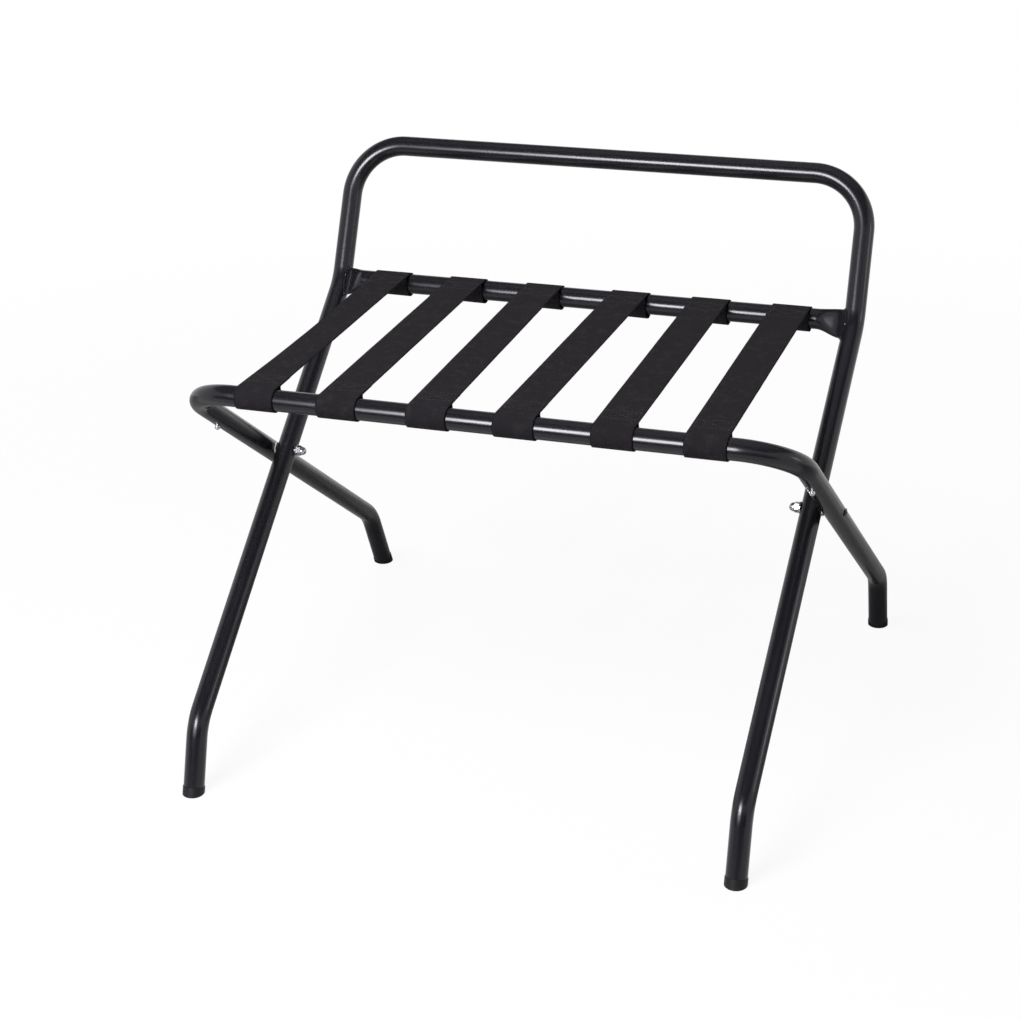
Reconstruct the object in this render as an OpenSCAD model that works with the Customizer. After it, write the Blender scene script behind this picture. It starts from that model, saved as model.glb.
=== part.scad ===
// Folding luggage rack with a raised back bar, as stood in hotel bedrooms.
// Two bent tube frames cross at a hinge bolt on each side, and six webbing straps join their rails.
// Millimetres. The open rack stands on z = 0 with the origin midway between its feet.
// +X is the right-hand side seen from the front, +Y points to the back and +Z is up.

/* [Tube] */
// Outside diameter of the frame tube
tube_d = 22.2; // [19:0.1:25.4]
// Wall thickness of the frame tube
tube_wall = 1.2; // [0.8:0.1:2]
// Centreline radius of the two bends at the top bar
top_bend_r = 60; // [45:1:70]
// Centreline radius of the bends where the back rises from the legs
seat_bend_r = 60; // [40:1:80]
// Centreline radius of the two bends at the front rail
rail_bend_r = 59; // [45:1:65]
// Centreline radius of the bends above the feet
knee_bend_r = 57; // [35:1:70]
// How much fatter the tube is in its bends, on the diameter
bend_swell = 0.3; // [0.28:0.01:0.5]

/* [Stance] */
// Distance along the floor between front and rear foot centres
foot_spread = 593.4; // [560:0.2:640]

/* [Back frame] */
// Width between leg centres at the seat
back_w = 600; // [500:1:700]
// How much closer to the middle each upright stands at the top bar
top_taper = 1.5; // [0:0.1:12]
// How much closer to the middle each front foot and knee stands
foot_taper = 6.7; // [0:0.1:12]
// Height of the top bar's centre
top_bar_z = 564.5; // [520:0.1:620]
// Height at which the back rises from the legs
seat_bend_z = 418.5; // [400:0.1:440]
// Height of the bends above the front feet
front_knee_z = 73.4; // [55:0.1:95]
// Angle of the uprights from the floor
upright_slope = 65.8; // [58:0.1:75]
// Angle of the long front legs from the floor
front_leg_slope = 37.7; // [34:0.1:42]
// Angle of the front feet from the floor
front_foot_slope = 72.6; // [65:0.1:80]

/* [Rear rail] */
// How far behind the front of the legs the middle of each pressed end is welded
rail_bite = 2.6; // [1:0.1:5]
// How far down the legs from the seat bend the rail lies
rail_drop = 3.5; // [0:0.1:10]
// Length over which each end of the rail is pressed flat
press_len = 26; // [18:1:30]
// Height of a pressed end
press_h = 33; // [26:0.5:34]
// Thickness of a pressed end
press_t = 3; // [2.5:0.1:6]
// Gap left for the weld between rail and leg
weld_gap = 0.15; // [0.05:0.05:0.5]

/* [Seat frame] */
// Height of the front rail's centre
front_rail_z = 413.5; // [395:0.1:430]
// Height of the bends above the rear feet
rear_knee_z = 78.4; // [55:0.1:95]
// How far each rear knee stands wider than the front rail's end
knee_splay = 2.2; // [0:0.1:6]
// How far each rear foot comes back in below its knee
foot_return = 2.2; // [0:0.1:6]
// Angle of the long rear legs from the floor
rear_leg_slope = 36.1; // [33:0.1:40]
// Angle of the rear feet from the floor
rear_foot_slope = 68; // [60:0.1:80]

/* [Foot caps] */
// How far a cap stands out from the tube all round
cap_lip = 0.6; // [0.4:0.1:3]
// Height of the cap's collar along the foot, from the floor to the tube's end
collar_h = 8; // [7:0.5:14]
// Width of the bevel round the sole
sole_bevel = 1.2; // [0.5:0.1:2]
// Length of the plug inside the tube
plug_len = 18; // [10:1:30]
// Clearance between plug and tube bore, on the radius
plug_play = 0.1; // [0.05:0.05:0.4]

/* [Hinge] */
// Diameter of the hinge bolt
bolt_d = 6; // [5:0.5:8]
// Running clearance round the bolt, on the radius
bolt_play = 0.05; // [0.02:0.01:0.1]
// Space between the two tubes at the hinge
hinge_gap = 1.8; // [1.2:0.1:4]
// Diameter of the bolt's low head
head_d = 9; // [8:0.5:14]
// Height of the bolt's low head
head_h = 1.5; // [1.2:0.1:4]
// Width across flats of the socket in the head
socket_af = 4; // [3:0.5:5]
// Diameter of the spacer between the tubes
spacer_d = 13; // [10:0.5:18]
// Diameter of the washer under the nut
washer_d = 12.5; // [11:0.5:18]
// Thickness of the washer under the nut
washer_t = 1.2; // [0.8:0.1:2]
// Width across flats of the cap nut
nut_af = 10; // [10:0.5:13]
// Height of the cap nut's hexagon
nut_hex_h = 5.5; // [4:0.5:8]
// Diameter of the cap nut's dome
dome_d = 9.4; // [8.6:0.1:10]
// Height of the whole cap nut
nut_h = 11; // [10:0.5:16]
// Gap where pieces of one frame touch
touch_gap = 0.15; // [0.1:0.05:0.4]
// Gap where a piece swings past another
swing_gap = 0.3; // [0.2:0.05:0.6]

/* [Leg rivets] */
// Distance from the front rail's centre to each rivet, along the leg
rivet_at = 97; // [85:0.5:150]
// Diameter of the rivet's round head
rivet_head_d = 5.5; // [5:0.5:10]
// Height of the rivet's round-topped head
rivet_head_h = 4.4; // [1.5:0.1:6]
// Diameter of the rivet's shank
rivet_d = 4; // [3:0.5:5]
// Diameter of the rivet's upset end inside the tube
upset_d = 5.6; // [5.2:0.1:7]

/* [Straps] */
// Width of the webbing
strap_w = 42.5; // [30:0.5:50]
// How much narrower the free webbing is than its loops
strap_neck = 0.1; // [0.1:0.1:2]
// Thickness of the webbing
strap_t = 1.2; // [1:0.1:2.5]
// Space between each outer strap and the rear rail's pressed end
strap_end_gap = 6.9; // [3:0.1:30]
// Sideways drift of each strap's front end, from left to right
front_drift = [0, -4, -2, -5, 1, -1]; // [-10:1:10]
// Sideways drift of each strap's rear end, from left to right
rear_drift = [7, 4, 1, 7, 4, 0]; // [-10:1:10]
// Distance from the front rail's centre to the stitched joint of each loop
front_reach = 10; // [10:1:45]
// Distance from the rear rail's centre to the stitched joint of each loop
rear_reach = 15; // [13:1:45]
// Length of the stitched lap behind each loop
lap_len = 26; // [20:1:60]
// How much narrower the lap is than its loop
lap_neck = 2; // [1:0.5:6]
// Clearance between a strap's loop and its rail
loop_gap = 0.3; // [0.2:0.05:0.6]

/* [Hidden] */
$fn = 64;

paint = [0.11, 0.11, 0.12];
webbing = [0.2, 0.19, 0.2];
rubber = [0.15, 0.15, 0.17];
zinc = [0.82, 0.83, 0.85];
nylon = [0.86, 0.86, 0.84];

tube_r = tube_d / 2;
bore_r = tube_r - tube_wall;
cap_r = tube_r + cap_lip;
bolt_r = bolt_d / 2;
cut = 1; // overshoot of a cutting shape past the face it cuts
bend_lap = 0.4; // how far a straight length runs into the bend at its end
press_lap = 0.2; // how far the rear rail's round length runs into a pressed end
seam_side = [0.3, 0.2, 1]; // lies along no straight length, so every bar can turn its seam by it
plug_bevel = 2; // bevel on the top of a foot cap's plug

// Side view of the back frame, as [y, z] corners of its centreline
front_foot = [-foot_spread / 2, 0];
front_knee = front_foot + front_knee_z * [1 / tan(front_foot_slope), 1];
seat_bend = front_knee + (seat_bend_z - front_knee_z) * [1 / tan(front_leg_slope), 1];
top_bar = seat_bend + (top_bar_z - seat_bend_z) * [1 / tan(upright_slope), 1];

// Side view of the seat frame
rear_foot = [foot_spread / 2, 0];
rear_knee = rear_foot + rear_knee_z * [-1 / tan(rear_foot_slope), 1];
front_rail_at = rear_knee + (front_rail_z - rear_knee_z) * [-1 / tan(rear_leg_slope), 1];

// The hinge is where the two long legs cross: one climbs to the seat bend, the other to the front rail
hinge_y = (front_rail_z - seat_bend_z + front_rail_at[0] * tan(rear_leg_slope)
    + seat_bend[0] * tan(front_leg_slope)) / (tan(front_leg_slope) + tan(rear_leg_slope));
hinge_z = seat_bend_z + (hinge_y - seat_bend[0]) * tan(front_leg_slope);
back_share = (seat_bend_z - hinge_z) / (seat_bend_z - front_knee_z);
seat_share = (front_rail_z - hinge_z) / (front_rail_z - rear_knee_z);

// Half widths, measured to the tube's centre
back_x = back_w / 2;
top_x = back_x - top_taper;
front_foot_x = back_x - foot_taper;
back_hinge_x = back_x - foot_taper * back_share;
seat_hinge_x = back_hinge_x + tube_d + hinge_gap;
seat_x = seat_hinge_x - knee_splay * seat_share;
rear_knee_x = seat_x + knee_splay;
rear_foot_x = rear_knee_x - foot_return;

// The rear rail lies in front of the legs, by a stand-off square to their mean slope at the bend
mean_slope = (upright_slope + front_leg_slope) / 2;
rail_stand_off = tube_d - press_t / 2 - rail_bite;
rear_rail_at = seat_bend
    + rail_stand_off * [-sin(mean_slope), cos(mean_slope)]
    - rail_drop * [cos(mean_slope), sin(mean_slope)];
rail_flat_x = back_x - tube_r;
rail_round_x = rail_flat_x - press_len;

// A pressed end is a loft of rings, from one that lies just outside the round tube to a flat one
ring_sides = 32;
press_steps = 10;
press_r = (tube_r + bend_swell / 2) / cos(180 / ring_sides);
press_corner = 0.45; // how much fuller than an ellipse the flat ring's ends are

// The strap's plane, and the angle it rises towards the back
rail_line = rear_rail_at - front_rail_at;
rail_span = norm(rail_line);
seat_rise = atan2(rail_line[1], rail_line[0]);
loop_in = tube_r + loop_gap;
loop_out = loop_in + strap_t;
strap_count = len(front_drift);
strap_pitch = 2 * (rail_round_x - strap_end_gap - strap_w / 2) / (strap_count - 1);

// Radius of the bolt head's low dome, which falls to half its height at the rim
dish_r = (pow(head_d / 2, 2) + pow(head_h / 2, 2)) / head_h;
socket_floor = 0.6; // metal left under the socket
nut_bevel = 1; // bevel on the nut's outer corners, half as much on the washer's side
nut_wall = 2.6; // metal between the cap nut's bore and the top of its dome
tip_space = 0.8; // space between the bolt's end and the end of that bore

rivet_round_r = (pow(rivet_head_d / 2, 2) + pow(rivet_head_h, 2)) / (2 * rivet_head_h);
rivet_rise = 0.4; // depth allowed for the curve of the tube under a rivet's head
upset_h = 2; // length of the rivet's upset end

function side_point(p, x) = [x, p[0], p[1]];
function unit(v) = v / norm(v);

// Point at a distance from a on the way to b
function toward(a, b, distance) = a + distance * unit(b - a);

// Rigid placement with the local x, y and z axes along e1, e2 and e3
module place(origin, e1, e2, e3) {
    multmatrix([
        [e1[0], e2[0], e3[0], origin[0]],
        [e1[1], e2[1], e3[1], origin[1]],
        [e1[2], e2[2], e3[2], origin[2]],
        [0, 0, 0, 1]
    ]) children();
}

// Round bar from a to b, its seam turned to the side axis
module bar(a, b, d) {
    along = unit(b - a);
    level = unit(cross(seam_side, along));
    place(a, level, cross(along, level), along) cylinder(h = norm(b - a), d = d);
}

// Length that a bend of radius r takes from each leg of the corner at p
function tangent(before, p, after, r) =
    let (turn = acos(unit(p - before) * unit(after - p)))
    r * tan(turn / 2);

// Bend at corner p, a part of a ring of centreline radius r
module bend(before, p, after, r, d) {
    into = unit(p - before);
    out = unit(after - p);
    turn = acos(into * out);
    centre = p + unit(out - into) * r / cos(turn / 2);
    start = p - into * r * tan(turn / 2);
    place(centre, unit(start - centre), into, cross(unit(start - centre), into))
        rotate_extrude(angle = turn) translate([r, 0]) circle(d = d);
}

// Bent bar through the corners of path, with a bend radius for each inner corner
module bent_bar(path, radii, d) {
    last = len(path) - 1;
    trims = [
        for (i = [0:last])
            i == 0 || i == last
                ? 0
                : tangent(path[i - 1], path[i], path[i + 1], radii[i - 1]) - bend_lap
    ];
    for (i = [0:last - 1]) {
        along = unit(path[i + 1] - path[i]);
        bar(path[i] + along * trims[i], path[i + 1] - along * trims[i + 1], d);
    }
    for (i = [1:last - 1])
        bend(path[i - 1], path[i], path[i + 1], radii[i - 1], d + bend_swell);
}

// Corners of a frame's centreline on one side, from the floor up; s is -1 left and 1 right
function front_foot_3d(s) = side_point(front_foot, s * front_foot_x);
function front_knee_3d(s) = side_point(front_knee, s * front_foot_x);
function seat_bend_3d(s) = side_point(seat_bend, s * back_x);
function top_corner_3d(s) = side_point(top_bar, s * top_x);
function rear_foot_3d(s) = side_point(rear_foot, s * rear_foot_x);
function rear_knee_3d(s) = side_point(rear_knee, s * rear_knee_x);
function rail_corner_3d(s) = side_point(front_rail_at, s * seat_x);

back_radii = [knee_bend_r, seat_bend_r, top_bend_r, top_bend_r, seat_bend_r, knee_bend_r];
seat_radii = [knee_bend_r, rail_bend_r, rail_bend_r, knee_bend_r];

// The tube ends a collar's height above the floor, along the foot, and a path runs on by extra
function back_path(extra) = [
    toward(front_foot_3d(-1), front_knee_3d(-1), collar_h - extra),
    front_knee_3d(-1), seat_bend_3d(-1), top_corner_3d(-1),
    top_corner_3d(1), seat_bend_3d(1), front_knee_3d(1),
    toward(front_foot_3d(1), front_knee_3d(1), collar_h - extra)
];

function seat_path(extra) = [
    toward(rear_foot_3d(-1), rear_knee_3d(-1), collar_h - extra),
    rear_knee_3d(-1), rail_corner_3d(-1), rail_corner_3d(1), rear_knee_3d(1),
    toward(rear_foot_3d(1), rear_knee_3d(1), collar_h - extra)
];

// Shape along the hinge axis on side s, starting x from the middle and pointing outwards
module on_hinge(s, x) {
    place([s * x, hinge_y, hinge_z], [0, s, 0], [0, 0, 1], [s, 0, 0]) children();
}

// Hole for the hinge bolt through a leg whose centre crosses the hinge at x
module hinge_hole(s, x) {
    on_hinge(s, x - tube_r - cut) cylinder(h = tube_d + 2 * cut, r = bolt_r + bolt_play);
}

module back_frame_tube() {
    color(paint) difference() {
        bent_bar(back_path(0), back_radii, tube_d);
        bent_bar(back_path(cut), back_radii, tube_d - 2 * tube_wall);
        for (s = [-1, 1]) hinge_hole(s, back_hinge_x);
    }
}

module seat_frame_tube() {
    color(paint) difference() {
        bent_bar(seat_path(0), seat_radii, tube_d);
        bent_bar(seat_path(cut), seat_radii, tube_d - 2 * tube_wall);
        for (s = [-1, 1]) hinge_hole(s, seat_hinge_x);
        for (s = [-1, 1]) on_rivet(s) translate([0, 0, -cut - tube_wall - rivet_rise])
            cylinder(h = tube_wall + rivet_rise + 2 * cut, d = rivet_d + 2 * touch_gap);
    }
}

// One ring of a pressed end: share 0 is the round tube and 1 the flat end
function ease(share) = share * share * (3 - 2 * share);
function press_ring(share, x) =
    let (
        e = ease(share),
        half_h = press_r + (press_h / 2 - press_r) * e,
        half_t = press_r + (press_t / 2 - press_r) * e,
        power = 1 - press_corner * e
    )
    [
        for (k = [0:ring_sides - 1])
            let (c = cos(360 * k / ring_sides), n = sin(360 * k / ring_sides))
            [
                x,
                sign(c) * pow(abs(c), power) * half_t + press_r - half_t,
                sign(n) * pow(abs(n), power) * half_h
            ]
    ];

// Tube end pressed flat against its rear side, running outwards along +X from the origin
module pressed_end() {
    length = press_len + tube_r;
    rings = [
        for (i = [0:press_steps])
            each press_ring(min(1, i / press_steps * length / press_len), i / press_steps * length)
    ];
    total = len(rings);
    walls = [
        for (i = [0:press_steps - 1]) for (k = [0:ring_sides - 1])
            let (
                a = i * ring_sides + k,
                b = i * ring_sides + (k + 1) % ring_sides
            )
            each [[a, a + ring_sides, b], [b, a + ring_sides, b + ring_sides]]
    ];
    ends = [
        [for (k = [0:ring_sides - 1]) k],
        [for (k = [1:ring_sides]) total - k]
    ];
    polyhedron(points = rings, faces = concat(walls, ends), convexity = 4);
}

// Frame of the rear rail: x along it, y towards the legs and z along their mean slope
module on_rear_rail() {
    place(
        side_point(rear_rail_at, 0),
        [1, 0, 0],
        [0, sin(mean_slope), -cos(mean_slope)],
        [0, cos(mean_slope), sin(mean_slope)]
    ) children();
}

module rear_rail() {
    color(paint) difference() {
        on_rear_rail() difference() {
            union() {
                rotate([0, 90, 0])
                    cylinder(h = 2 * (rail_round_x + press_lap), d = tube_d, center = true);
                for (s = [0, 1]) mirror([s, 0, 0]) translate([rail_round_x, 0, 0]) pressed_end();
            }
            rotate([0, 90, 0])
                cylinder(h = 2 * rail_round_x, d = tube_d - 2 * tube_wall, center = true);
        }
        for (s = [-1, 1]) bent_bar(
            [front_knee_3d(s), seat_bend_3d(s), top_corner_3d(s)],
            [seat_bend_r],
            tube_d + 2 * weld_gap
        );
    }
}

// Cap for one foot, its axis along the foot tube, cut level with the floor
module foot_cap(foot, knee) {
    up = unit(knee - foot);
    level = [1, 0, 0];
    color(rubber) intersection() {
        place(foot, unit(level - up * (level * up)), unit(cross(up, level)), up)
            rotate_extrude() polygon([
                [0, -2 * cap_r],
                [cap_r, -2 * cap_r],
                [cap_r, collar_h],
                [bore_r - plug_play, collar_h],
                [bore_r - plug_play, collar_h + plug_len - plug_bevel],
                [bore_r - plug_play - plug_bevel, collar_h + plug_len],
                [0, collar_h + plug_len]
            ]);
        translate([foot[0], foot[1], 0]) union() {
            cylinder(h = sole_bevel, r1 = cap_r / up[2] - sole_bevel, r2 = cap_r / up[2]);
            translate([0, 0, sole_bevel]) cylinder(h = 2 * (collar_h + plug_len), r = 2 * cap_r);
        }
    }
}

module hinge_bolt(s) {
    grip = seat_hinge_x + tube_r + swing_gap;
    tip = back_hinge_x - tube_r - touch_gap - washer_t - nut_h + nut_wall + tip_space;
    color(paint) on_hinge(s, tip) difference() {
        union() {
            cylinder(h = grip - tip, r = bolt_r);
            translate([0, 0, grip - tip]) rotate_extrude() intersection() {
                translate([0, head_h - dish_r]) circle(r = dish_r);
                square([head_d / 2, head_h]);
            }
        }
        translate([0, 0, grip - tip + socket_floor])
            cylinder(h = head_h, r = socket_af / 2 / cos(30), $fn = 6);
    }
}

module hinge_spacer(s) {
    color(nylon) on_hinge(s, back_hinge_x + tube_r + touch_gap) difference() {
        cylinder(h = hinge_gap - touch_gap - swing_gap, d = spacer_d);
        translate([0, 0, -cut]) cylinder(h = hinge_gap + 2 * cut, r = bolt_r + bolt_play);
    }
}

module hinge_washer(s) {
    color(zinc) on_hinge(s, back_hinge_x - tube_r - touch_gap - washer_t) difference() {
        cylinder(h = washer_t, d = washer_d);
        translate([0, 0, -cut]) cylinder(h = washer_t + 2 * cut, r = bolt_r + bolt_play);
    }
}

// Cone that takes a hexagon's corners off at its far end, where its radius is r
module bevel_cone(r) {
    cylinder(h = nut_hex_h, r1 = r + nut_hex_h, r2 = r);
}

// Cap nut: a bevelled hexagon with a round dome over the bolt's end
module cap_nut(s) {
    corner_r = nut_af / 2 / cos(30);
    color(zinc) on_hinge(s, back_hinge_x - tube_r - touch_gap - washer_t) mirror([0, 0, 1])
        difference() {
            union() {
                intersection() {
                    cylinder(h = nut_hex_h, r = corner_r, $fn = 6);
                    bevel_cone(corner_r - nut_bevel);
                    translate([0, 0, nut_hex_h]) mirror([0, 0, 1])
                        bevel_cone(corner_r - nut_bevel / 2);
                }
                cylinder(h = nut_h - dome_d / 2, d = dome_d);
                translate([0, 0, nut_h - dome_d / 2]) sphere(d = dome_d);
            }
            translate([0, 0, -cut])
                cylinder(h = nut_h - nut_wall + cut, r = bolt_r + bolt_play);
        }
}

// Frame of a leg rivet: its z axis points down out of the underside of the seat frame's leg
module on_rivet(s) {
    along = unit(rear_knee_3d(s) - rail_corner_3d(s));
    down = unit(cross(along, [1, 0, 0]));
    seat = rail_corner_3d(s) + along * rivet_at + down * (tube_r + touch_gap);
    place(seat, along, cross(down, along), down) children();
}

module leg_rivet(s) {
    shank = tube_wall + 2 * rivet_rise + upset_h;
    color(zinc) on_rivet(s) {
        rotate_extrude() intersection() {
            translate([0, rivet_head_h - rivet_round_r]) circle(r = rivet_round_r);
            square([rivet_head_d / 2, rivet_head_h]);
        }
        translate([0, 0, -shank]) cylinder(h = shank, d = rivet_d);
        translate([0, 0, -shank]) cylinder(h = upset_h, d = upset_d);
    }
}

// Side view of a strap's loop round one rail, with the rail's centre at the origin and the
// strap's plane along +X of the sketch: the webbing leaves the rail tangentially and folds back
module loop_sketch(r, reach) {
    joint = [reach, loop_in];
    lean = 2 * atan2(loop_in, reach);
    touch = [sin(lean), -cos(lean)];
    grow = r - loop_in;
    circle(r = r);
    polygon([
        [0, 0],
        [0, r],
        joint + [grow * tan(lean / 2), grow],
        joint + grow * touch,
        r * touch
    ]);
}

// Frame of one rail for the straps: x back along the strap, y up from its plane, z along +X
module on_rail(rail, x, flip) {
    back = flip * [0, cos(seat_rise), sin(seat_rise)];
    up = [0, -sin(seat_rise), cos(seat_rise)];
    place(side_point(rail, x), back, up, cross(back, up)) children();
}

module strap_loop(rail, x, flip, reach) {
    on_rail(rail, x, flip) linear_extrude(height = strap_w, center = true) difference() {
        loop_sketch(loop_out, reach);
        loop_sketch(loop_in, reach);
    }
}

// Flat run of webbing between distances a and b from the front rail, its underside at height
// over the plane through both rails' centres, and narrower than the loops by neck
module strap_run(front_x, rear_x, a, b, height, neck) {
    drift = (rear_x - front_x) / rail_span;
    up = [0, -sin(seat_rise), cos(seat_rise)];
    back = [0, cos(seat_rise), sin(seat_rise)];
    half_w = (strap_w - neck) / 2;
    place(side_point(front_rail_at, front_x) + up * height, [1, 0, 0], back, up)
        linear_extrude(height = strap_t) polygon([
            [a * drift - half_w, a],
            [a * drift + half_w, a],
            [b * drift + half_w, b],
            [b * drift - half_w, b]
        ]);
}

// Strap number i, counted from the left
module strap(i) {
    middle = (i - (strap_count + 1) / 2) * strap_pitch;
    front_x = middle + front_drift[i - 1];
    rear_x = middle + rear_drift[i - 1];
    color(webbing) {
        strap_loop(front_rail_at, front_x, 1, front_reach);
        strap_loop(rear_rail_at, rear_x, -1, rear_reach);
        strap_run(front_x, rear_x, 0, rail_span, loop_in, strap_neck);
        strap_run(front_x, rear_x, front_reach, front_reach + lap_len, loop_in - strap_t, lap_neck);
        strap_run(front_x, rear_x, rail_span - rear_reach - lap_len, rail_span - rear_reach,
            loop_in - strap_t, lap_neck);
    }
}

back_frame_tube();
rear_rail();
seat_frame_tube();
foot_cap(front_foot_3d(-1), front_knee_3d(-1));  // front_foot_cap_left
foot_cap(front_foot_3d(1), front_knee_3d(1));  // front_foot_cap_right
foot_cap(rear_foot_3d(-1), rear_knee_3d(-1));  // rear_foot_cap_left
foot_cap(rear_foot_3d(1), rear_knee_3d(1));  // rear_foot_cap_right
strap(1);  // strap_1
strap(2);  // strap_2
strap(3);  // strap_3
strap(4);  // strap_4
strap(5);  // strap_5
strap(6);  // strap_6
hinge_bolt(-1);  // hinge_bolt_left
hinge_bolt(1);  // hinge_bolt_right
hinge_spacer(-1);  // hinge_spacer_left
hinge_spacer(1);  // hinge_spacer_right
hinge_washer(-1);  // hinge_washer_left
hinge_washer(1);  // hinge_washer_right
cap_nut(-1);  // cap_nut_left
cap_nut(1);  // cap_nut_right
leg_rivet(-1);  // leg_rivet_left
leg_rivet(1);  // leg_rivet_right
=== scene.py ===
import math

import bpy
from mathutils import Matrix, Quaternion, Vector, noise


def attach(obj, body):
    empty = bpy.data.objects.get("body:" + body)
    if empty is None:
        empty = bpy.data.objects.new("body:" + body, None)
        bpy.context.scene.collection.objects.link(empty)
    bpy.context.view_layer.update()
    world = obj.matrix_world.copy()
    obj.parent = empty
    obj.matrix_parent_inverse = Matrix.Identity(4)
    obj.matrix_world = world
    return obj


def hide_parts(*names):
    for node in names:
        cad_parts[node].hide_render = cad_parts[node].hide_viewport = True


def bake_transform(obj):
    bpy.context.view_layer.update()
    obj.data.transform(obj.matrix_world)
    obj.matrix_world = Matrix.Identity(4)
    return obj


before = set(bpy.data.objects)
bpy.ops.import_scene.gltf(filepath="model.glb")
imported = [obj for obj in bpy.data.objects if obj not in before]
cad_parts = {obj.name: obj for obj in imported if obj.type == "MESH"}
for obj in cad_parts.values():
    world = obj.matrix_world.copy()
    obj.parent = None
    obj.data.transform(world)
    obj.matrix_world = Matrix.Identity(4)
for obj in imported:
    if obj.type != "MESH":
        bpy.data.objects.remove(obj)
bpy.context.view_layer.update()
print("stage: packed model loaded with", len(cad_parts), "nodes")

# Lengths are millimetres until a mesh is made. They repeat the CAD source's values, apart from
# those marked as the looks' own.

view = {
    "azimuth": 19.971, "elevation": 23.827, "roll": -1.567,  # degrees
    "distance": 2406.89, "target": (-37.37, 0, 231.877),
    "focal": 2203.39, "pictureWidth": 1020,  # pixels
    "sensor": 36, "clipEnd": 60,  # millimetres, metres
}


def makeCamera():
    azimuth, elevation, roll = (math.radians(view[k]) for k in ("azimuth", "elevation", "roll"))
    flat = Vector((math.sin(azimuth), -math.cos(azimuth), 0))
    back = flat * math.cos(elevation) + Vector((0, 0, math.sin(elevation)))
    level = Vector((math.cos(azimuth), math.sin(azimuth), 0))
    rise = back.cross(level)
    right = level * math.cos(roll) + rise * math.sin(roll)
    up = rise * math.cos(roll) - level * math.sin(roll)
    data = bpy.data.cameras.new("camera")
    data.sensor_fit, data.sensor_width = "HORIZONTAL", view["sensor"]
    data.lens = view["focal"] * view["sensor"] / view["pictureWidth"]
    data.clip_end = view["clipEnd"]
    camera = bpy.data.objects.new("camera", data)
    turn = Matrix((right, up, back)).transposed().to_4x4()
    spot = (Vector(view["target"]) + back * view["distance"]) * 0.001
    camera.matrix_world = Matrix.Translation(spot) @ turn
    bpy.context.scene.collection.objects.link(camera)
    bpy.context.scene.camera = camera


makeCamera()
print("stage: camera set")


# Node helpers

def addNode(tree, kind, wires=None, **settings):
    made = tree.nodes.new("ShaderNode" + kind)
    for key, value in settings.items():
        setattr(made, key, value)
    for key, value in (wires or {}).items():
        if isinstance(value, bpy.types.NodeSocket):
            tree.links.new(value, made.inputs[key])
        else:
            made.inputs[key].default_value = value
    return made


def calc(tree, operation, a, b=0.0, c=0.0):
    return addNode(tree, "Math", {0: a, 1: b, 2: c}, operation=operation).outputs[0]


def newMaterial(name, **fixed):  # fixed values sit on the shader's own sockets
    material = bpy.data.materials.new(name)
    material.use_nodes = True
    shader = material.node_tree.nodes["Principled BSDF"]
    for key, value in fixed.items():
        shader.inputs[key.replace("_", " ")].default_value = value
    return material, material.node_tree, shader


def grain(tree, scale, detail=2.0, rough=0.5, stretch=(1, 1, 1)):  # noise by place on the object
    place = addNode(tree, "TexCoord").outputs["Object"]
    placed = addNode(tree, "Mapping", {"Vector": place, "Scale": stretch}).outputs["Vector"]
    return addNode(tree, "TexNoise", {"Vector": placed, "Scale": scale, "Detail": detail,
                                      "Roughness": rough}).outputs["Fac"]


def between(tree, share, low, high, fromLow=0.3, fromHigh=0.7):
    return addNode(tree, "MapRange", {"Value": share, "From Min": fromLow, "From Max": fromHigh,
                                      "To Min": low, "To Max": high}).outputs["Result"]


def tint(tree, share, first, second):  # from the first colour, plain or wired, to the second
    start = first if isinstance(first, bpy.types.NodeSocket) else (*first, 1)
    return addNode(tree, "Mix", {"Factor": share, "A": start, "B": (*second, 1)},
                   data_type="RGBA").outputs[2]


def link(tree, source, shader, socket):
    tree.links.new(source, shader.inputs[socket])


def linkBump(tree, shader, height, strength, depth):
    wires = {"Height": height, "Strength": strength, "Distance": depth}
    link(tree, addNode(tree, "Bump", wires).outputs["Normal"], shader, "Normal")


paintLook = {
    "black": (0.0070, 0.0066, 0.0096), "worn": (0.0095, 0.0086, 0.0112), "cloudScale": 14,
    "gloss": 0.34, "glossTint": (0.94, 0.94, 1, 1),
    "roughLow": 0.205, "roughHigh": 0.25,
    "hazeScale": 26, "rubScale": 260, "rubStretch": (1, 0.12, 0.12), "rubShare": 0.1,
    "peelScale": 420, "peelDepth": 0.000008, "peelStrength": 0.06,
}


def makePaint():  # gloss black stove enamel over bent tube
    look = paintLook
    material, tree, shader = newMaterial("glossBlackEnamel", Specular_IOR_Level=look["gloss"],
                                         Specular_Tint=look["glossTint"])
    cloud = between(tree, grain(tree, look["cloudScale"], detail=3), 0, 1)
    link(tree, tint(tree, cloud, look["black"], look["worn"]), shader, "Base Color")
    haze = grain(tree, look["hazeScale"], detail=3)
    rub = grain(tree, look["rubScale"], stretch=look["rubStretch"])
    mixed = calc(tree, "MULTIPLY_ADD", rub, look["rubShare"],
                 calc(tree, "MULTIPLY", haze, 1 - look["rubShare"]))
    link(tree, between(tree, mixed, look["roughLow"], look["roughHigh"]), shader, "Roughness")
    linkBump(tree, shader, grain(tree, look["peelScale"]), look["peelStrength"], look["peelDepth"])
    return material


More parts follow.
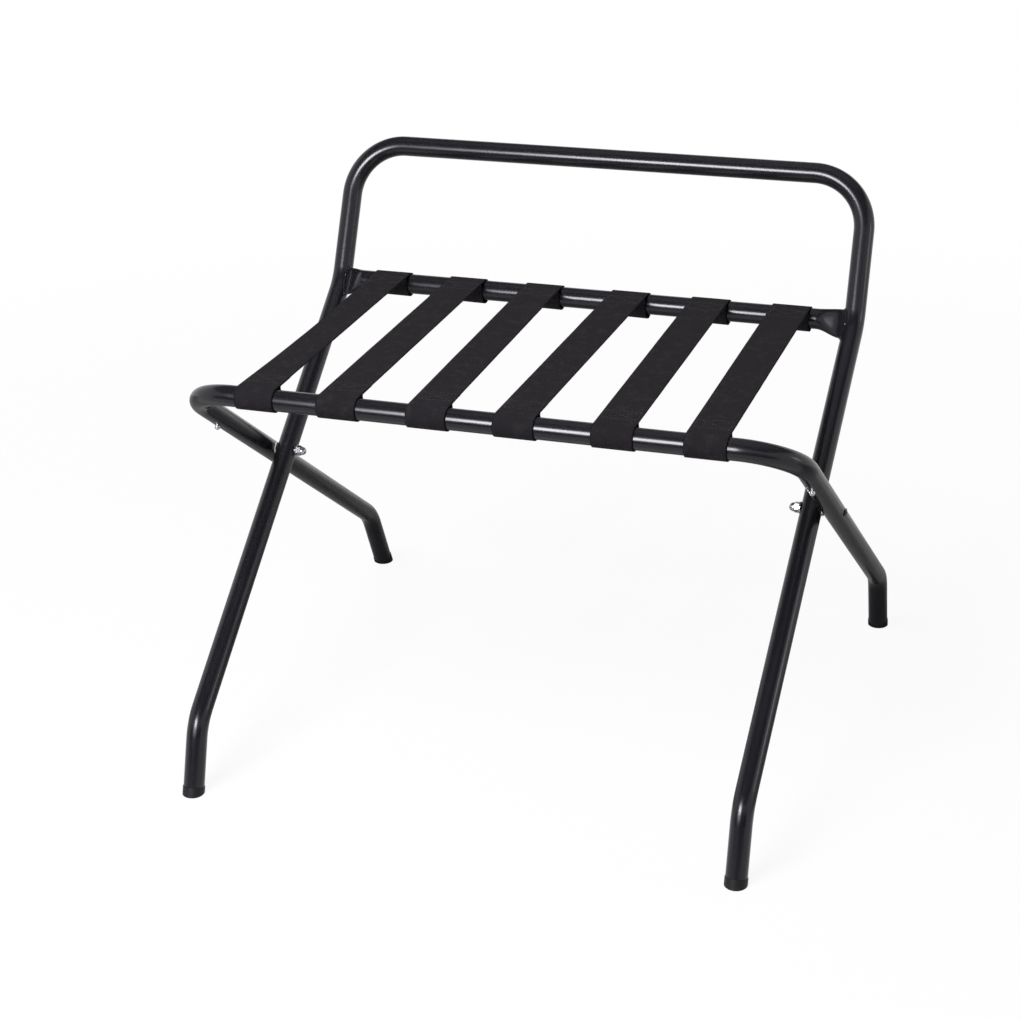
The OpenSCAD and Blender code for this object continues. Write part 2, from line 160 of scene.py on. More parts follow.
strapWidth = 42.5
webbingLook = {
    "thread": (0.0196, 0.0172, 0.0208), "shadow": (0.0113, 0.0098, 0.0122),
    "dust": (0.037, 0.033, 0.038), "dustScale": 95, "dustMost": 0.5,
    "darkerEdge": (0.0060, 0.0053, 0.0065), "darkerEdgeWidth": 1.82,
    "warp": 0.86, "weft": 1.24,  # thread pitch across and along, in millimetres
    "jitterScale": 900, "warpJitter": 0.18, "weftJitter": 0.22,
    "twillRepeat": 4.0, "warpShown": 1.5,  # in threads
    "weftHeight": 0.72,  # as a share of the warp's
    "weaveDepth": 0.00011, "weaveStrength": 0.8,
    "roughDeep": 0.95, "roughTop": 0.82,
    "gloss": 0.04, "sheen": 0.012, "sheenRoughness": 0.5,
}


def makeWebbing():  # twill webbing, its threads laid out along the strap by the map "threads"
    look = webbingLook
    material, tree, shader = newMaterial("twillWebbing", Specular_IOR_Level=look["gloss"],
                                         Sheen_Weight=look["sheen"],
                                         Sheen_Roughness=look["sheenRoughness"])
    laid = addNode(tree, "UVMap", uv_map="threads").outputs["UV"]
    across, along, _ = addNode(tree, "SeparateXYZ", {0: laid}).outputs
    jitter = grain(tree, look["jitterScale"], detail=1)
    wavy = (calc(tree, "MULTIPLY_ADD", jitter, look["warpJitter"], across),
            calc(tree, "MULTIPLY_ADD", jitter, look["weftJitter"], along))
    warp, weft = (calc(tree, "DIVIDE", way, look[k]) for way, k in zip(wavy, ("warp", "weft")))
    cell = calc(tree, "ADD", calc(tree, "FLOOR", warp), calc(tree, "FLOOR", weft))
    step = calc(tree, "FLOORED_MODULO", cell, look["twillRepeat"])
    warpUp = calc(tree, "LESS_THAN", step, look["warpShown"])
    warpRib, weftRib = (
        calc(tree, "ABSOLUTE", calc(tree, "SINE", calc(tree, "MULTIPLY", way, math.pi)))
        for way in (warp, weft))
    weftLow = calc(tree, "MULTIPLY", weftRib, look["weftHeight"])
    height = addNode(tree, "Mix", {"Factor": warpUp, "A": weftLow, "B": warpRib},
                     data_type="FLOAT").outputs[0]
    raised = between(tree, height, 0, 1, fromLow=0.1, fromHigh=0.75)
    colour = tint(tree, raised, look["shadow"], look["thread"])
    dust = between(tree, grain(tree, look["dustScale"], detail=4, rough=0.7), 0, look["dustMost"],
                   fromLow=0.5, fromHigh=0.75)
    colour = tint(tree, dust, colour, look["dust"])
    # The webbing is darker along both edges of the strap, over the given width.
    half = strapWidth / 2
    rim = calc(tree, "ABSOLUTE", calc(tree, "SUBTRACT", across, half))
    edge = between(tree, rim, 0, 1, fromLow=half - look["darkerEdgeWidth"], fromHigh=half)
    link(tree, tint(tree, edge, colour, look["darkerEdge"]), shader, "Base Color")
    rough = between(tree, height, look["roughDeep"], look["roughTop"], fromLow=0, fromHigh=1)
    link(tree, rough, shader, "Roughness")
    linkBump(tree, shader, height, look["weaveStrength"], look["weaveDepth"])
    return material


threadLook = {
    # dark is painted shade, put in the grooves of the twist
    "colour": (0.019, 0.017, 0.0195), "dark": (0.009, 0.008, 0.0095),
    "gloss": 0.35, "sheen": 0.1, "roughDeep": 0.75, "roughTop": 0.55,
    "twistScale": 2600 / 6.283,  # 2600 radians to a metre
    "twistWobble": 1.5, "twistDepth": 0.00012, "twistStrength": 0.5,
}


def makeThread():  # twisted sewing thread, the webbing's own tone
    look = threadLook
    material, tree, shader = newMaterial("sewingThread", Specular_IOR_Level=look["gloss"],
                                         Sheen_Weight=look["sheen"])
    place = addNode(tree, "TexCoord").outputs["Object"]
    twist = addNode(tree, "TexWave", {"Vector": place, "Scale": look["twistScale"],
                                      "Distortion": look["twistWobble"], "Detail": 1.0},
                    bands_direction="DIAGONAL").outputs["Fac"]
    # Painted shade: the grooves of the twist get the dark tone, the crests the thread's colour.
    link(tree, tint(tree, twist, look["dark"], look["colour"]), shader, "Base Color")
    rough = between(tree, twist, look["roughDeep"], look["roughTop"], fromLow=0, fromHigh=1)
    link(tree, rough, shader, "Roughness")
    linkBump(tree, shader, twist, look["twistStrength"], look["twistDepth"])
    return material


rubberLook = {
    "black": (0.0068, 0.0064, 0.0090), "scuffed": (0.014, 0.0135, 0.015), "gloss": 0.2,
    "scuffHeight": 0.006, "patchScale": 320, "roughLow": 0.42, "roughHigh": 0.62,
    "poreScale": 1500, "poreDepth": 0.00012, "poreStrength": 0.35,
}


def makeRubber():  # moulded foot caps, scuffed grey near the sole
    look = rubberLook
    material, tree, shader = newMaterial("mouldedRubber", Specular_IOR_Level=look["gloss"])
    place = addNode(tree, "TexCoord").outputs["Object"]
    height = addNode(tree, "SeparateXYZ", {0: place}).outputs[2]
    low = between(tree, height, 1, 0, fromLow=0.0, fromHigh=look["scuffHeight"])
    patch = between(tree, grain(tree, look["patchScale"], detail=4, rough=0.6), 0, 1,
                    fromLow=0.35, fromHigh=0.7)
    scuff = calc(tree, "MULTIPLY", low, patch)
    link(tree, tint(tree, scuff, look["black"], look["scuffed"]), shader, "Base Color")
    rough = between(tree, patch, look["roughLow"], look["roughHigh"], fromLow=0, fromHigh=1)
    link(tree, rough, shader, "Roughness")
    pores = grain(tree, look["poreScale"], detail=3)
    linkBump(tree, shader, pores, look["poreStrength"], look["poreDepth"])
    return material


zincLook = {  # bright plated nuts, washers and rivets
    "fixed": {"Metallic": 1.0},
    "tones": ((0.5, 0.51, 0.53), (0.3, 0.305, 0.315)), "rough": (0.16, 0.3),
    "patch": {"scale": 380, "detail": 4, "rough": 0.6}, "patchFrom": (0.3, 0.7), "patchMost": 1,
    "skin": {"scale": 1800, "stretch": (5, 1, 1)}, "skinDepth": 0.00004, "skinStrength": 0.25,
}
nylonLook = {  # moulded spacers between the tubes, slightly yellowed
    "fixed": {"Specular_IOR_Level": 0.4},
    "tones": ((0.66, 0.65, 0.61), (0.56, 0.54, 0.48)), "rough": (0.42, 0.56),
    "patch": {"scale": 240, "detail": 3}, "patchFrom": (0.3, 0.7), "patchMost": 1,
    "skin": {"scale": 2200}, "skinDepth": 0.00005, "skinStrength": 0.3,
}
boltLook = {  # black bolts, lighter in spots: partly rubbed by the key and partly a painted highlight
    "fixed": {"Specular_IOR_Level": 0.45},
    "tones": ((0.02, 0.019, 0.021), (0.09, 0.085, 0.08)), "rough": (0.24, 0.42),
    "patch": {"scale": 700, "detail": 4, "rough": 0.65}, "patchFrom": (0.55, 0.75),
    "patchMost": 0.8,
    "skin": {"scale": 1600, "detail": 3}, "skinDepth": 0.00004, "skinStrength": 0.3,
}


def makeFitting(name, look):  # patches from the first tone to the second, and a fine skin
    material, tree, shader = newMaterial(name, **look["fixed"])
    patch = between(tree, grain(tree, **look["patch"]), 0, look["patchMost"], *look["patchFrom"])
    link(tree, tint(tree, patch, *look["tones"]), shader, "Base Color")
    link(tree, between(tree, patch, *look["rough"], fromLow=0, fromHigh=1), shader, "Roughness")
    skin = grain(tree, **look["skin"])
    linkBump(tree, shader, skin, look["skinStrength"], look["skinDepth"])
    return material


paint, webbing, thread, rubber = makePaint(), makeWebbing(), makeThread(), makeRubber()
zinc, nylon = makeFitting("brightZinc", zincLook), makeFitting("mouldedNylon", nylonLook)
blackBolt = makeFitting("blackBolt", boltLook)
print("stage: materials made")


# Mesh helpers

def makeObject(name, points, faces, material, mapping=None, sharpAngle=35):
    mesh = bpy.data.meshes.new(name)
    mesh.from_pydata([Vector(p) * 0.001 for p in points], [], faces)
    mesh.materials.append(material)
    if mapping:
        layer = mesh.uv_layers.new(name="threads")
        for loop in mesh.loops:
            layer.data[loop.index].uv = mapping[loop.vertex_index]
    mesh.shade_smooth()
    mesh.set_sharp_from_angle(angle=math.radians(sharpAngle))
    mesh.update()
    made = bpy.data.objects.new(name, mesh)
    bpy.context.scene.collection.objects.link(made)
    return made


def skinFaces(ringCount, sides, joinEnds, firstPoint=0):  # quads ring to ring; open ends get a face
    faces = []
    for i in range(ringCount if joinEnds else ringCount - 1):
        here, there = firstPoint + i * sides, firstPoint + (i + 1) % ringCount * sides
        faces += [(here + k, here + (k + 1) % sides, there + (k + 1) % sides, there + k)
                  for k in range(sides)]
    if not joinEnds:
        last = firstPoint + (ringCount - 1) * sides
        faces += [tuple(range(firstPoint, firstPoint + sides)),
                  tuple(reversed(range(last, last + sides)))]
    return faces


def sweptRings(path, radius, sides, side=Vector((0.3, 0.2, 1))):
    rings = []  # each square to the path of (point, direction)
    for i, (point, along) in enumerate(path):
        side = (side - along * side.dot(along)).normalized()
        across = along.cross(side)
        size = radius[i] if isinstance(radius, list) else radius
        rings.append([point + size * (side * math.cos(a) + across * math.sin(a))
                      for a in (2 * math.pi * k / sides for k in range(sides))])
    return rings


def bentPath(corners, radii, step=3.0):  # (point, direction) along straights and round bends
    path = [(corners[0], (corners[1] - corners[0]).normalized())]
    for before, corner, after, radius in zip(corners, corners[1:], corners[2:], radii):
        into, out = (corner - before).normalized(), (after - corner).normalized()
        turn = into.angle(out)
        centre = corner + (out - into).normalized() * radius / math.cos(turn / 2)
        arm = corner - into * radius * math.tan(turn / 2) - centre
        axis = into.cross(out).normalized()
        steps = max(3, round(math.degrees(turn) / step))
        for k in range(steps + 1):
            spin = Quaternion(axis, turn * k / steps)
            path.append((centre + spin @ arm, spin @ into))
    path.append((corners[-1], (corners[-1] - corners[-2]).normalized()))
    return path


# The two bent tubes

tube = {"diameter": 22.2, "wall": 1.2, "sides": 56,
        "topBend": 60, "seatBend": 60, "railBend": 59, "kneeBend": 57,
        "capCollar": 8}  # the tube ends this far up its foot cap
stance = {"footSpread": 593.4, "backWidth": 600, "topTaper": 1.5, "footTaper": 6.7,
          "hingeGap": 1.8, "kneeSplay": 2.2, "footReturn": 2.2}
heights = {"topBar": 564.5, "seatBend": 418.5, "frontKnee": 73.4, "frontRail": 413.5,
           "rearKnee": 78.4}
slopeDegrees = {"upright": 65.8, "frontLeg": 37.7, "frontFoot": 72.6,
                "rearLeg": 36.1, "rearFoot": 68}  # from the floor
slopes = {key: math.radians(value) for key, value in slopeDegrees.items()}
tubeRadius = tube["diameter"] / 2


def climb(start, height, slope, lean=1):  # (y, z) of the next corner up a frame's side view
    return start[0] + lean * (height - start[1]) / math.tan(slope), height


frontFoot, rearFoot = (-stance["footSpread"] / 2, 0), (stance["footSpread"] / 2, 0)
frontKnee = climb(frontFoot, heights["frontKnee"], slopes["frontFoot"])
seatBend = climb(frontKnee, heights["seatBend"], slopes["frontLeg"])
topBar = climb(seatBend, heights["topBar"], slopes["upright"])
rearKnee = climb(rearFoot, heights["rearKnee"], slopes["rearFoot"], -1)
frontRail = climb(rearKnee, heights["frontRail"], slopes["rearLeg"], -1)

frontSteep, rearSteep = math.tan(slopes["frontLeg"]), math.tan(slopes["rearLeg"])
hingeY = (frontRail[1] - seatBend[1] + frontRail[0] * rearSteep
          + seatBend[0] * frontSteep) / (frontSteep + rearSteep)
hingeZ = seatBend[1] + (hingeY - seatBend[0]) * frontSteep
backX = stance["backWidth"] / 2
hingeX = backX - stance["footTaper"] * (seatBend[1] - hingeZ) / (seatBend[1] - frontKnee[1])
seatX = (hingeX + tube["diameter"] + stance["hingeGap"]
         - stance["kneeSplay"] * (frontRail[1] - hingeZ) / (frontRail[1] - rearKnee[1]))
rearKneeX = seatX + stance["kneeSplay"]


def corner(sideView, x):
    return Vector((x, *sideView))


def makeTube(name, half, radii, body):  # half is one side's corners from the foot up to the middle
    foot, knee = half[0], half[1]
    half = [foot + (knee - foot).normalized() * tube["capCollar"]] + half[1:]
    corners = half + [Vector((-p.x, p.y, p.z)) for p in reversed(half)]
    path = bentPath(corners, radii)
    rings = sweptRings(path, tubeRadius, tube["sides"])
    rings += sweptRings(path, tubeRadius - tube["wall"], tube["sides"])[::-1]
    made = makeObject(name, [p for ring in rings for p in ring],
                      skinFaces(len(rings), tube["sides"], True), paint)
    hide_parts(body + "_tube")
    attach(made, body)
    return path


backPath = makeTube("backFrame", [corner(frontFoot, -(backX - stance["footTaper"])),
                                  corner(frontKnee, -(backX - stance["footTaper"])),
                                  corner(seatBend, -backX),
                                  corner(topBar, -(backX - stance["topTaper"]))],
                    [tube[k] for k in ("kneeBend", "seatBend", "topBend",
                                       "topBend", "seatBend", "kneeBend")],
                    "back_frame")
makeTube("seatFrame", [corner(rearFoot, -(rearKneeX - stance["footReturn"])),
                       corner(rearKnee, -rearKneeX), corner(frontRail, -seatX)],
         [tube[k] for k in ("kneeBend", "railBend", "railBend", "kneeBend")], "seat_frame")
print("stage: bent tubes made")


# The rear rail, pressed flat at its ends and welded between the legs

rearRail = {"bite": 2.6, "drop": 3.5, "pressLength": 26, "pressHeight": 33, "pressThick": 3,
            "cornerFill": 0.45, "sides": 64, "steps": 26,
            "sink": 0.35}  # how far an end runs into the leg's skin
legSpan = {"beyond": 250, "low": 340, "high": 500}  # the stretch of leg that the rail's end meets
weldBead = {"radius": 1.55, "sides": 10, "step": 0.6, "pitch": 2.6, "ripple": 0.35,
            "lumps": 0.4, "lumpRate": 0.25, "wander": 0.5, "wanderRate": 0.2}
leanAngle = (slopes["upright"] + slopes["frontLeg"]) / 2
railOut = Vector((0, -math.sin(leanAngle), math.cos(leanAngle)))  # from the legs out to the rail
railUp = Vector((0, math.cos(leanAngle), math.sin(leanAngle)))
rearRailOut = tube["diameter"] - rearRail["pressThick"] / 2 - rearRail["bite"]
rearRailAt = corner(seatBend, 0) + railOut * rearRailOut - railUp * rearRail["drop"]
roundX = backX - tubeRadius - rearRail["pressLength"]


def railRing(share, x):  # share 0 is the round tube and 1 the flat end
    ease = share * share * (3 - 2 * share)
    halfHeight = tubeRadius + (rearRail["pressHeight"] / 2 - tubeRadius) * ease
    halfThick = tubeRadius + (rearRail["pressThick"] / 2 - tubeRadius) * ease
    power = 1 - rearRail["cornerFill"] * ease
    ring = []
    for k in range(rearRail["sides"]):
        c, n = (f(2 * math.pi * k / rearRail["sides"]) for f in (math.cos, math.sin))
        inward = math.copysign(abs(c) ** power, c) * halfThick + tubeRadius - halfThick
        ring.append(rearRailAt + Vector((x, 0, 0)) - railOut * inward
                    + railUp * math.copysign(abs(n) ** power, n) * halfHeight)
    return ring


def rightLeg():  # points a millimetre apart up the right leg and round its bend
    line = [point for point, _ in backPath]
    fine = [a.lerp(b, k / count) for a, b in zip(line, line[1:])
            for count in (max(1, round((b - a).length)),) for k in range(count)]
    return [Vector((-p.x, p.y, p.z)) for p in fine
            if p.x < -legSpan["beyond"] and legSpan["low"] < p.z < legSpan["high"]]


legLine = rightLeg()


def toLeg(point, depth):  # moves the point along +X to a depth inside the leg's skin
    low, high = 0.0, tube["diameter"]
    for _ in range(24):  # halvings
        middle = (low + high) / 2
        here = point + Vector((middle, 0, 0))
        nearest = min((here - spot).length for spot in legLine)
        low, high = (low, middle) if nearest < tubeRadius - depth else (middle, high)
    return point + Vector((low, 0, 0))


def makeRearRail():
    sides, steps = rearRail["sides"], rearRail["steps"]
    shares = [i / (steps - 1) for i in range(steps)]
    rings = [railRing(share, roundX + share * rearRail["pressLength"]) for share in shares]
    rings.append([toLeg(p, rearRail["sink"]) for p in rings[-1]])
    left = [[Vector((-p.x, p.y, p.z)) for p in ring] for ring in reversed(rings)]
    rings = left + rings
    made = makeObject("rearRail", [p for ring in rings for p in ring],
                      skinFaces(len(rings), sides, False), paint, sharpAngle=50)
    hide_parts("rear_rail")
    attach(made, "back_frame")
    return [toLeg(p, 0) for p in railRing(1, roundX + rearRail["pressLength"])]


def evenSteps(seam, step):  # (distance, point) round a closed line
    total = sum((b - a).length for a, b in zip(seam, seam[1:] + seam[:1]))
    steps = round(total / step)
    marks = [total * k / steps for k in range(steps)]
    walked, spots = 0, []
    for a, b in zip(seam, seam[1:] + seam[:1]):
        length = (b - a).length
        while len(spots) < steps and marks[len(spots)] <= walked + length:
            spots.append(a.lerp(b, (marks[len(spots)] - walked) / max(length, 1e-6)))
        walked += length
    return list(zip(marks, spots))


def makeWeld(seam, side, name):  # an uneven bead round the rail's end, where it meets the leg
    beads = evenSteps(seam, weldBead["step"])
    path, sizes = [], []
    for i, (mark, spot) in enumerate(beads):
        along = (beads[(i + 2) % len(beads)][1] - beads[i - 2][1]).normalized()
        ripple = weldBead["ripple"] * abs(math.sin(math.pi * mark / weldBead["pitch"]))
        lump = noise.noise(Vector((mark * weldBead["lumpRate"], side * 7, 3)))
        sizes.append(weldBead["radius"] + weldBead["lumps"] * (lump + ripple))
        place = mark * weldBead["wanderRate"]
        drift = Vector((0, noise.noise(Vector((place, side, 9))),
                        noise.noise(Vector((4, side, place)))))
        path.append((Vector((spot.x * side, spot.y, spot.z)) + drift * weldBead["wander"],
                     Vector((along.x * side, along.y, along.z))))
    rings = sweptRings(path, sizes, weldBead["sides"], Vector((1, 0.1, 0.1)))
    made = makeObject(name, [p for ring in rings for p in ring],
                      skinFaces(len(rings), weldBead["sides"], True), paint, sharpAngle=80)
    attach(made, "back_frame")


weldSeam = makeRearRail()
makeWeld(weldSeam, 1, "weldRight")
makeWeld(weldSeam, -1, "weldLeft")
print("stage: rear rail and welds made")


# Straps

strap = {
    "width": strapWidth, "thick": 1.2, "edgeRound": 0.5, "endGap": 6.9, "loopGap": 0.3,
    "frontReach": 10, "lapLength": 26, "lapNeck": 2,  # a lap is this much narrower than its loop
    "frontDrift": [0, -4, -2, -5, 1, -1],  # how far each loop has slid along its rail
    "rearDrift": [7, 4, 1, 7, 4, 0],
    "foldRadius": 3, "foldTurn": 5,  # degrees to a step
    "lapSteps": 8, "loopSteps": 40, "runSteps": 64, "topSteps": 10, "rimTurns": (1.05, 0.52, 0.0),
    # The rest is the looks' own
    "rearReach": 10.5,
    "rearSlack": [1.5, 2.2, 1.9, 3.1, 2.4, 1.8],  # how far each rear loop hangs below its rail
    "slackFrom": 8, "slackDepth": 20, "slackPower": 1.5, "slackTilt": 0.25,
    "leftTuck": [4.5, 0, 0, 0, 0, 0],  # how far the left edge curls in at the middle of the run
    "wave": 0.22, "waveLength": 62, "waveAcross": 30, "waveSeed": 9.1,
    "calmEnd": 14, "calmFade": 60,  # the wave stops this far from a rail and is full after the fade
    "edgeWave": 0.14, "edgeLength": 17, "edgeDrop": 40, "edgeFrom": 15, "edgeSeed": 5.3,
}
frontRailAt = corner(frontRail, 0)
strapLine = rearRailAt - frontRailAt
span = strapLine.length
strapBack = strapLine.normalized()
strapUp = Vector((0, -strapBack.z, strapBack.y))
strapPitch = 2 * (roundX - strap["endGap"] - strap["width"] / 2) / (len(strap["frontDrift"]) - 1)
loopIn = tubeRadius + strap["loopGap"]  # from the rail's centre to the inside of a loop
runHeight = loopIn + strap["thick"] / 2
lapHeight = runHeight - strap["thick"]


def loopSideView(reach):  # (point, direction, share of the width) from the lap's end to the top
    lean = 2 * math.atan2(loopIn, reach)
    touch = runHeight * Vector((0, math.sin(lean), -math.cos(lean)))
    fold = Vector((0, reach + strap["thick"] / 2 * math.tan(lean / 2), lapHeight))
    start = Vector((0, reach + strap["lapLength"], lapHeight))
    bent = bentPath([start, fold, touch], [strap["foldRadius"]], strap["foldTurn"])
    narrow = 1 - strap["lapNeck"] / strap["width"]
    lapSteps, loopSteps = strap["lapSteps"], strap["loopSteps"]
    side = [(bent[0][0].lerp(bent[1][0], k / lapSteps), bent[0][1], narrow)
            for k in range(lapSteps)]
    turn = bent[1:-1]
    side += [(p, d, narrow + (1 - narrow) * k / (len(turn) - 1)) for k, (p, d) in enumerate(turn)]
    first, last = math.atan2(touch.z, touch.y), -1.5 * math.pi
    for k in range(loopSteps + 1):
        a = first + (last - first) * k / loopSteps
        side.append((Vector((0, math.cos(a), math.sin(a))) * runHeight,
                     Vector((0, math.sin(a), -math.cos(a))), 1))
    return side


def strapSideView():  # the same for the whole strap, with y along it and z off its plane
    steps = strap["runSteps"]
    run = [(Vector((0, span * k / steps, runHeight)), Vector((0, 1, 0)), 1)
           for k in range(1, steps)]
    rear = [(Vector((0, span - p.y, p.z)), Vector((0, d.y, -d.z)), share)
            for p, d, share in reversed(loopSideView(strap["rearReach"]))]
    return loopSideView(strap["frontReach"]) + run + rear


def strapCut():  # cross-section, x across and y through the webbing, with its rounded selvedges
    halfWidth, halfThick, r = strap["width"] / 2, strap["thick"] / 2, strap["edgeRound"]
    steps = strap["topSteps"]
    half = [(-halfWidth + r + (2 * halfWidth - 2 * r) * k / steps, halfThick)
            for k in range(steps + 1)]
    half += [(halfWidth - r + r * math.cos(a), halfThick - r + r * math.sin(a))
             for a in strap["rimTurns"]]
    return half + [(-x, -y) for x, y in half]


def onStrap(number, alongLine, height, x):  # height is over the plane of the two rails
    share = min(1, max(0, alongLine / span))
    middle = (number - (len(strap["frontDrift"]) + 1) / 2) * strapPitch
    drift = strap["frontDrift"][number - 1] * (1 - share) + strap["rearDrift"][number - 1] * share
    fromEnd = min(alongLine, span - alongLine)
    inRun = min(1, max(0, (fromEnd - strap["calmEnd"]) / strap["calmFade"]))
    ripple = strap["wave"] * inRun * noise.noise(Vector((
        number * strap["waveSeed"], alongLine / strap["waveLength"], x / strap["waveAcross"])))
    edge = strap["edgeWave"] * noise.noise(Vector((
        number * strap["edgeSeed"] + math.copysign(2, x), alongLine / strap["edgeLength"],
        height / strap["edgeDrop"])))
    wide = math.copysign(edge, x) if abs(x) > strap["edgeFrom"] else 0
    below = min(1, max(0, (strap["slackFrom"] - height) / strap["slackDepth"]))
    hang = below ** strap["slackPower"] if alongLine > span / 2 else 0
    hang *= strap["rearSlack"][number - 1] * (1 + strap["slackTilt"] * x / strap["width"])
    leftShare = max(0, -2 * x / strap["width"])
    tuck = strap["leftTuck"][number - 1] * leftShare * math.sin(math.pi * share)
    return (frontRailAt + strapBack * alongLine + strapUp * (height + ripple - hang)
            + Vector((middle + drift + x + wide + tuck, 0, 0)))


def makeStrap(number, sideView, cut):
    points, mapping, length = [], [], 0
    for i, (spot, along, share) in enumerate(sideView):
        length += (spot - sideView[i - 1][0]).length if i else 0
        off = Vector((0, -along.z, along.y))  # away from the rail, through the webbing
        for x, through in cut:
            x *= share
            place = spot + off * through
            points.append(onStrap(number, place.y, place.z, x))
            mapping.append((x + strap["width"] / 2, length))
    faces = skinFaces(len(sideView), len(cut), False)
    made = makeObject(f"strap{number}", points, faces, webbing, mapping, sharpAngle=60)
    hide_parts(f"strap_{number}")
    return made, length


stitching = {"length": 3.2, "gap": 0.8, "radius": 0.34, "tip": 0.3, "rings": 5, "sides": 6,
             "sunk": 0.16, "fromEdge": 3.2, "fromLapEnd": 3, "fromLoop": 4}


def stitchRows():  # a box with a cross on each lap, as ((along, across), (along, across))
    side = strap["width"] / 2 - stitching["fromEdge"]
    rows = []
    for reach, turned in ((strap["frontReach"], False), (strap["rearReach"], True)):
        near = reach + stitching["fromLoop"]
        far = reach + strap["lapLength"] - stitching["fromLapEnd"]
        near, far = (span - near, span - far) if turned else (near, far)
        box = [(near, -side), (near, side), (far, side), (far, -side)]
        rows += list(zip(box, box[1:] + box[:1])) + [(box[0], box[2]), (box[1], box[3])]
    return rows


def makeStitching(number):
    points, faces = [], []
    rings, sides = stitching["rings"], stitching["sides"]
    pitch = stitching["length"] + stitching["gap"]
    for height, out in ((runHeight + strap["thick"] / 2, 1), (lapHeight - strap["thick"] / 2, -1)):
        for start, end in stitchRows():
            start, end = Vector((*start, 0)), Vector((*end, 0))
            along = (end - start).normalized()
            across = Vector((-along.y, along.x, 0))
            count = max(1, round((end - start).length / pitch))
            for s in range(count):
                faces += skinFaces(rings, sides, False, len(points))
                middle = start.lerp(end, (s + 0.5) / count)
                for share in (k / (rings - 1) for k in range(rings)):
                    travel = (share - 0.5) * stitching["length"]
                    bulge = max(stitching["tip"], math.sqrt(1 - (2 * share - 1) ** 2))
                    swell = stitching["radius"] * bulge
                    for a in (2 * math.pi * j / sides for j in range(sides)):
                        flat = middle + along * travel + across * swell * math.cos(a)
                        lift = height + out * (swell * math.sin(a) - stitching["sunk"])
                        points.append(onStrap(number, flat.x, lift, flat.y))
    made = makeObject(f"stitching{number}", points, faces, thread, sharpAngle=70)
    return made


strapView, strapSection = strapSideView(), strapCut()
for number in range(1, len(strap["frontDrift"]) + 1):
    piece, flatLength = makeStrap(number, strapView, strapSection)
    seam = makeStitching(number)
    for soft in (piece, seam):
        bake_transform(soft)
print("stage: straps made, each cut to", round(flatLength), "mm")


# Finishes of the CAD pieces that stay

def finish(nodeName, material):
    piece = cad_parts[nodeName]
    if not piece.data.materials:
        piece.data.materials.append(material)
    for slot in piece.material_slots:
        slot.material = material


for side in ("left", "right"):
    for end in ("front", "rear"):
        finish(f"{end}_foot_cap_{side}", rubber)
    for part in ("cap_nut", "hinge_washer", "leg_rivet"):
        finish(f"{part}_{side}", zinc)
    finish(f"hinge_spacer_{side}", nylon)
    finish(f"hinge_bolt_{side}", blackBolt)
print("stage: fittings finished")


# Studio

studio = {
    "floorRadius": 14, "floorSides": 96,
    "floorColour": (0.9, 0.9, 0.9), "floorDull": 0.985, "floorCloud": 0.8,
    "glowNear": 0.92, "glowFar": 1.0, "glowFrom": 0.5, "glowTo": 2.0,  # by metres from the middle
    "surround": 0.16, "cardRoughness": 0.9,
    "cards": {  # seen in the gloss only: lowest corner, highest corner and tone
        "darkFlag": ((-1700, -1250, 0), (1700, -1250, 580), 0.1),
        "greyCeiling": ((-3500, -3600, 3000), (3500, 5200, 3000), 0.42),
        "greyFloorNear": ((-2500, -150, 1), (2500, 300, 1), 0.36),
        "greyFloorBeyond": ((-2500, 300, 1), (2500, 600, 1), 0.58),
        "greyFloorFar": ((-2500, 600, 1), (2500, 1000, 1), 0.9),
    },
    "lamps": {  # in metres and watts, and the kind of light a lamp doesn't give
        "streakLamp": {"at": (-0.46, -2.1, 1.13), "aim": (0, 0.05, 0.45), "size": (0.8, 0.82),
                       "power": 78, "matte": False},
        "fillLamp": {"at": (-0.7, -1.5, 2.4), "aim": (0, 0, 0.4), "size": (1.2, 1.2),
                     "power": 85, "glossy": False},
        "ceilingLamp": {"at": (0.2, 0.4, 2.5), "aim": (0, 0, 0.3), "size": (2.4, 2.4), "power": 5},
        "sideLamp": {"at": (2.4, 0.3, 0.9), "aim": (0, 0, 0.3), "size": (0.4, 0.5), "power": 3},
    },
}


def seenOrReflected(tree):  # 1 for camera, glossy and transmission rays
    path = addNode(tree, "LightPath")
    seen = calc(tree, "MAXIMUM", path.outputs["Is Camera Ray"], path.outputs["Is Glossy Ray"])
    return calc(tree, "MAXIMUM", seen, path.outputs["Is Transmission Ray"])


def emptyTree(owner):
    owner.use_nodes = True
    owner.node_tree.nodes.clear()
    return owner.node_tree


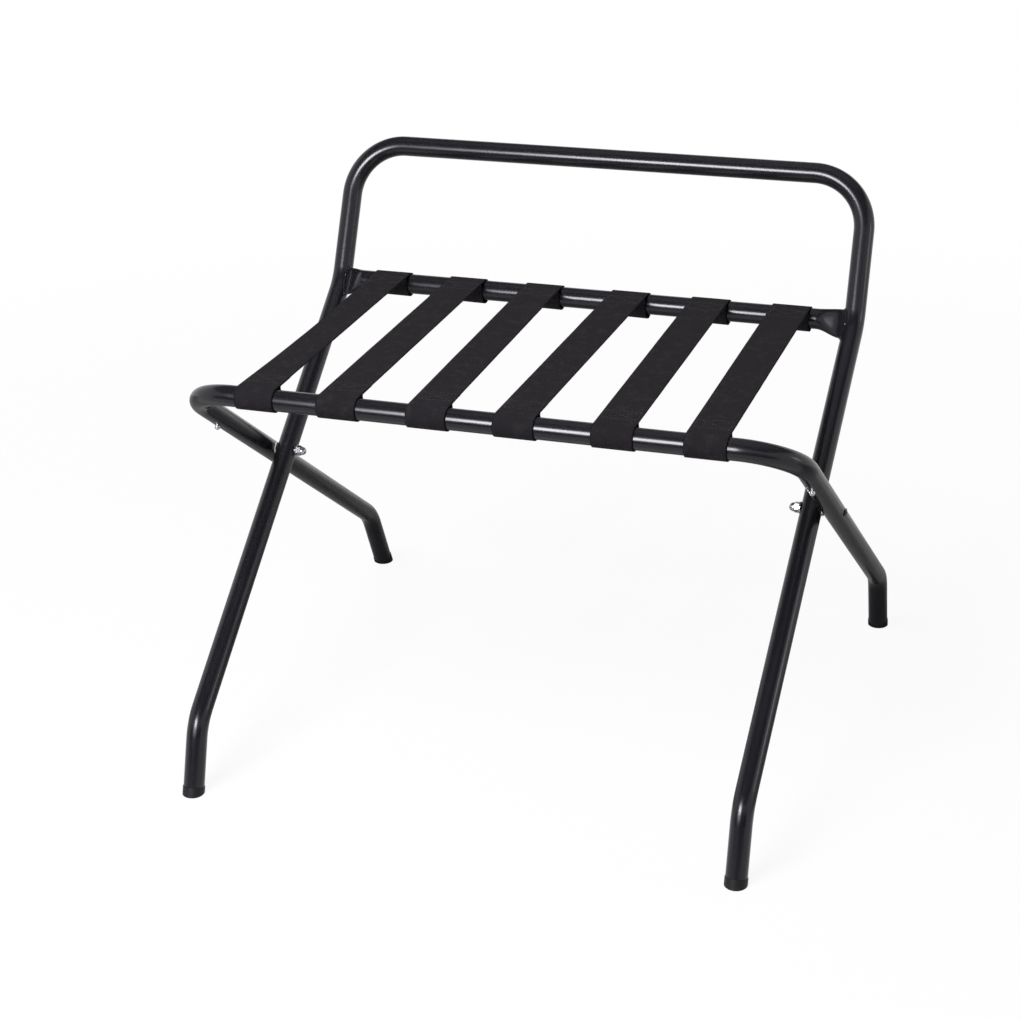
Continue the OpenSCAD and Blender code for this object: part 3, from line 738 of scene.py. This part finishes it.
def makeFloor():
    radius, sides = studio["floorRadius"] * 1000, studio["floorSides"]
    turns = [2 * math.pi * k / sides for k in range(sides)]
    rim = [Vector((radius * math.cos(a), radius * math.sin(a), 0)) for a in turns]
    material = bpy.data.materials.new("paleFloor")
    tree = emptyTree(material)
    pale = studio["floorColour"]
    cloud = between(tree, grain(tree, studio["floorCloud"]), 0, 1)
    base = tint(tree, cloud, pale, tuple(studio["floorDull"] * c for c in pale))
    diffuse = addNode(tree, "BsdfDiffuse", {"Color": base})
    glow = addNode(tree, "Emission", {"Color": (1, 1, 1, 1), "Strength": 1.0})
    place = addNode(tree, "TexCoord").outputs["Object"]
    away = addNode(tree, "VectorMath", {0: place}, operation="LENGTH").outputs["Value"]
    keys = ("glowNear", "glowFar", "glowFrom", "glowTo")
    glowing = between(tree, away, *(studio[k] for k in keys))
    share = calc(tree, "MULTIPLY", seenOrReflected(tree), glowing)
    mixed = addNode(tree, "MixShader", {0: share, 1: diffuse.outputs[0], 2: glow.outputs[0]})
    addNode(tree, "OutputMaterial", {"Surface": mixed.outputs[0]})
    floor = makeObject("floor", rim, [tuple(range(sides))], material)


def makeCards():
    for name, (low, high, tone) in studio["cards"].items():
        card, _, shader = newMaterial(name, Roughness=studio["cardRoughness"],
                                      Specular_IOR_Level=0.0)
        shader.inputs["Base Color"].default_value = (tone, tone, tone, 1)
        corners = [low, (high[0], low[1], low[2]), high, (low[0], high[1], high[2])]
        made = makeObject(name, [Vector(c) for c in corners], [(0, 1, 2, 3)], card)
        made.visible_camera = made.visible_diffuse = made.visible_shadow = False


def makeRoom():
    world = bpy.data.worlds.new("paleRoom")
    tree = emptyTree(world)
    lit = addNode(tree, "Background", {"Color": (1, 1, 1, 1), "Strength": studio["surround"]})
    shown = addNode(tree, "Background", {"Color": (1, 1, 1, 1), "Strength": 1.0})
    share = seenOrReflected(tree)
    mixed = addNode(tree, "MixShader", {0: share, 1: lit.outputs[0], 2: shown.outputs[0]})
    addNode(tree, "OutputWorld", {"Surface": mixed.outputs[0]})
    bpy.context.scene.world = world


def makeLamps():
    for name, lamp in studio["lamps"].items():
        data = bpy.data.lights.new(name, "AREA")
        data.shape, (data.size, data.size_y) = "RECTANGLE", lamp["size"]
        data.energy = lamp["power"]
        made = bpy.data.objects.new(name, data)
        made.location = lamp["at"]
        made.visible_diffuse = lamp.get("matte", True)
        made.visible_glossy = lamp.get("glossy", True)
        way = Vector(lamp["aim"]) - Vector(lamp["at"])
        made.rotation_euler = way.to_track_quat("-Z", "Y").to_euler()
        bpy.context.scene.collection.objects.link(made)


makeFloor()
makeCards()
makeRoom()
makeLamps()
bpy.context.scene.view_settings.view_transform = "Standard"
print("stage: studio made")
